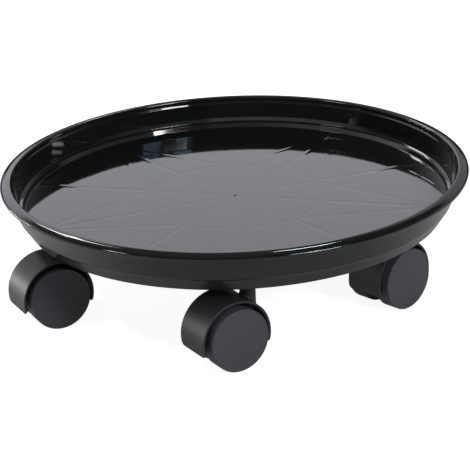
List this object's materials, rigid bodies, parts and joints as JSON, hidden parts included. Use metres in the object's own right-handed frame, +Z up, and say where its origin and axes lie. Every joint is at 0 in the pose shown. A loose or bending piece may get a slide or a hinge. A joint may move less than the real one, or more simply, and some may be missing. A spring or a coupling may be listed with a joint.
{
  "type": "plant pot caddy",
  "caption": "Round rimmed dish on small swivel castors, which carries a heavy plant pot and rolls it about.",
  "frame": {"origin": "on the ground, under the centre of the dish", "axes": "+Z up out of the dish; -Y from the centre towards castor 1"},
  "size_m": [0.38, 0.38, 0.1026],
  "materials": {
    "dish_plastic": "glossy moulded black polypropylene",
    "hood_plastic": "matte moulded black nylon",
    "wheel_plastic": "fine-grained matte charcoal nylon",
    "plated_steel": "bright zinc plate",
    "spring_steel": "dark spring steel"
  },
  "bodies": {
    "dish": {"tray": "dish_plastic", "castor_1_stem": "plated_steel", "castor_1_grip_ring": "spring_steel", "castor_2_stem": "plated_steel", "castor_2_grip_ring": "spring_steel", "castor_3_stem": "plated_steel", "castor_3_grip_ring": "spring_steel", "castor_4_stem": "plated_steel", "castor_4_grip_ring": "spring_steel", "castor_5_stem": "plated_steel", "castor_5_grip_ring": "spring_steel"},
    "castor_1": {"castor_1_hood": "hood_plastic", "castor_1_axle": "plated_steel"},
    "castor_1_left": {"castor_1_wheel_left": "wheel_plastic"},
    "castor_1_right": {"castor_1_wheel_right": "wheel_plastic"},
    "castor_2": {"castor_2_hood": "hood_plastic", "castor_2_axle": "plated_steel"},
    "castor_2_left": {"castor_2_wheel_left": "wheel_plastic"},
    "castor_2_right": {"castor_2_wheel_right": "wheel_plastic"},
    "castor_3": {"castor_3_hood": "hood_plastic", "castor_3_axle": "plated_steel"},
    "castor_3_left": {"castor_3_wheel_left": "wheel_plastic"},
    "castor_3_right": {"castor_3_wheel_right": "wheel_plastic"},
    "castor_4": {"castor_4_hood": "hood_plastic", "castor_4_axle": "plated_steel"},
    "castor_4_left": {"castor_4_wheel_left": "wheel_plastic"},
    "castor_4_right": {"castor_4_wheel_right": "wheel_plastic"},
    "castor_5": {"castor_5_hood": "hood_plastic", "castor_5_axle": "plated_steel"},
    "castor_5_left": {"castor_5_wheel_left": "wheel_plastic"},
    "castor_5_right": {"castor_5_wheel_right": "wheel_plastic"}
  },
  "joints": [
    {"name": "castor_1_swivel", "type": "hinge", "parent": "dish", "child": "castor_1", "pos_m": [0, -0.141, 0.06], "axis": [0, 0, 1], "continuous": true},
    {"name": "castor_1_left_roll", "type": "hinge", "parent": "castor_1", "child": "castor_1_left", "pos_m": [-0.01802, -0.15099, 0.025], "axis": [0.4848, -0.8746, 0], "continuous": true},
    {"name": "castor_1_right_roll", "type": "hinge", "parent": "castor_1", "child": "castor_1_right", "pos_m": [-0.01802, -0.15099, 0.025], "axis": [0.4848, -0.8746, 0], "continuous": true},
    {"name": "castor_2_swivel", "type": "hinge", "parent": "dish", "child": "castor_2", "pos_m": [0.1341, -0.04357, 0.06], "axis": [0, 0, 1], "continuous": true},
    {"name": "castor_2_left_roll", "type": "hinge", "parent": "castor_2", "child": "castor_2_left", "pos_m": [0.11855, -0.05709, 0.025], "axis": [0.6561, -0.7547, 0], "continuous": true},
    {"name": "castor_2_right_roll", "type": "hinge", "parent": "castor_2", "child": "castor_2_right", "pos_m": [0.11855, -0.05709, 0.025], "axis": [0.6561, -0.7547, 0], "continuous": true},
    {"name": "castor_3_swivel", "type": "hinge", "parent": "dish", "child": "castor_3", "pos_m": [0.08288, 0.11407, 0.06], "axis": [0, 0, 1], "continuous": true},
    {"name": "castor_3_left_roll", "type": "hinge", "parent": "castor_3", "child": "castor_3_left", "pos_m": [0.0658, 0.10255, 0.025], "axis": [0.5592, -0.829, 0], "continuous": true},
    {"name": "castor_3_right_roll", "type": "hinge", "parent": "castor_3", "child": "castor_3_right", "pos_m": [0.0658, 0.10255, 0.025], "axis": [0.5592, -0.829, 0], "continuous": true},
    {"name": "castor_4_swivel", "type": "hinge", "parent": "dish", "child": "castor_4", "pos_m": [-0.08288, 0.11407, 0.06], "axis": [0, 0, 1], "continuous": true},
    {"name": "castor_4_left_roll", "type": "hinge", "parent": "castor_4", "child": "castor_4_left", "pos_m": [-0.10072, 0.10377, 0.025], "axis": [0.5, -0.866, 0], "continuous": true},
    {"name": "castor_4_right_roll", "type": "hinge", "parent": "castor_4", "child": "castor_4_right", "pos_m": [-0.10072, 0.10377, 0.025], "axis": [0.5, -0.866, 0], "continuous": true},
    {"name": "castor_5_swivel", "type": "hinge", "parent": "dish", "child": "castor_5", "pos_m": [-0.1341, -0.04357, 0.06], "axis": [0, 0, 1], "continuous": true},
    {"name": "castor_5_left_roll", "type": "hinge", "parent": "castor_5", "child": "castor_5_left", "pos_m": [-0.15277, -0.05228, 0.025], "axis": [0.4226, -0.9063, 0], "continuous": true},
    {"name": "castor_5_right_roll", "type": "hinge", "parent": "castor_5", "child": "castor_5_right", "pos_m": [-0.15277, -0.05228, 0.025], "axis": [0.4226, -0.9063, 0], "continuous": true}
  ]
}
